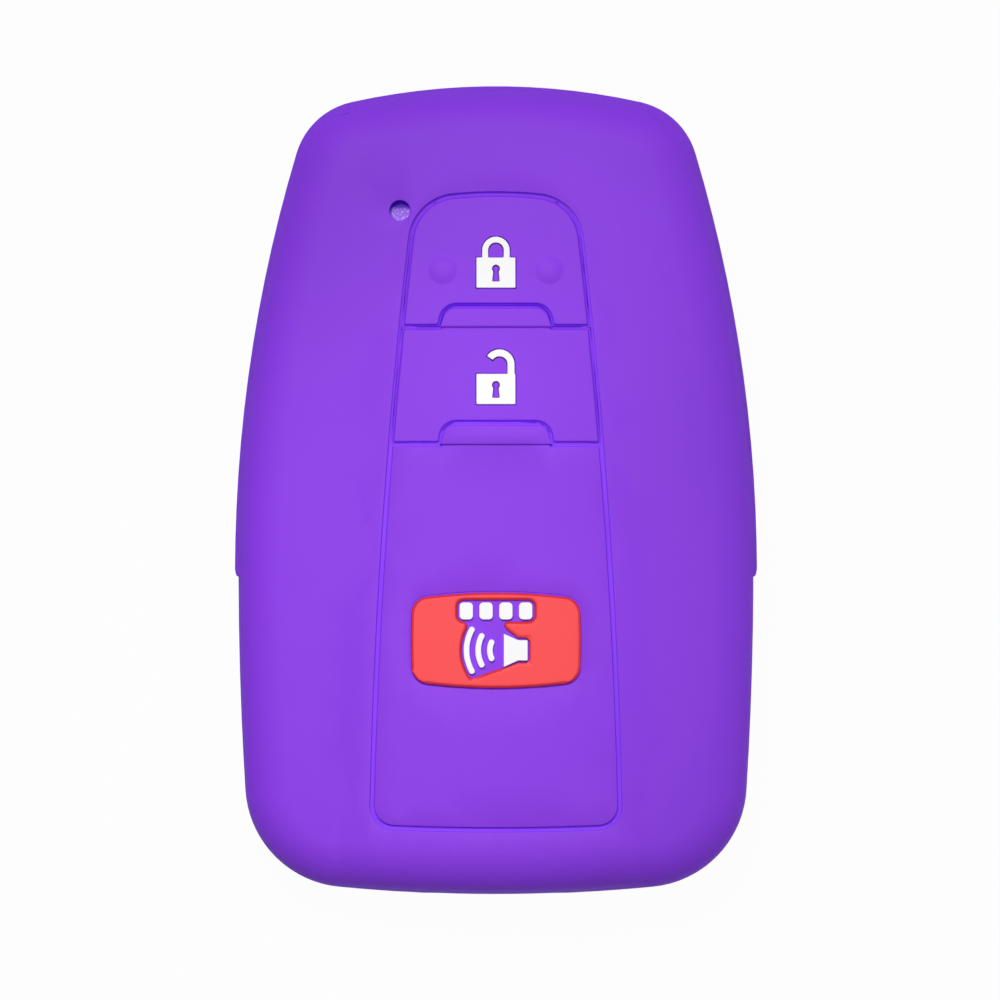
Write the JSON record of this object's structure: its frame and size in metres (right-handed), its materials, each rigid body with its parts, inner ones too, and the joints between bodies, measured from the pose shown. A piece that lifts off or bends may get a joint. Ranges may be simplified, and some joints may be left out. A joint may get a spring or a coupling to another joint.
{
  "type": "key fob cover",
  "caption": "Soft silicone sleeve for a car's smart key, with a crowned front, sprung press zones, padlock icons, a red panic pad, a back window and a slot for a key ring.",
  "frame": {"origin": "middle of the overall length and width, at the back face that the cover lies on", "axes": "+Z out of the crowned front, +Y along the length to the narrow top end, +X to the right seen from the front"},
  "size_m": [0.0504, 0.078, 0.0169],
  "materials": {
    "purple_silicone": "matte",
    "red_silicone": "satin",
    "white_silicone": "satin"
  },
  "bodies": {
    "shell": {"silicone_shell": "purple_silicone"},
    "lock_pad": {"lock_button": "purple_silicone", "lock_icon": "white_silicone"},
    "unlock_pad": {"unlock_button": "purple_silicone", "unlock_icon": "white_silicone"},
    "panic_pad": {"panic_button": "purple_silicone", "panic_red_face": "red_silicone", "panic_speaker_icon": "white_silicone", "panic_sound_waves": "white_silicone", "panic_hold_marks": "white_silicone"}
  },
  "joints": [
    {"name": "lock_press", "type": "slide", "parent": "shell", "child": "lock_pad", "axis": [0, 0, -1], "range_m": [0, 0.0007], "stiffness_N_per_m": 2000},
    {"name": "unlock_press", "type": "slide", "parent": "shell", "child": "unlock_pad", "axis": [0, 0, -1], "range_m": [0, 0.0007], "stiffness_N_per_m": 2000},
    {"name": "panic_press", "type": "slide", "parent": "shell", "child": "panic_pad", "axis": [0, 0, -1], "range_m": [0, 0.0007], "stiffness_N_per_m": 2000}
  ]
}
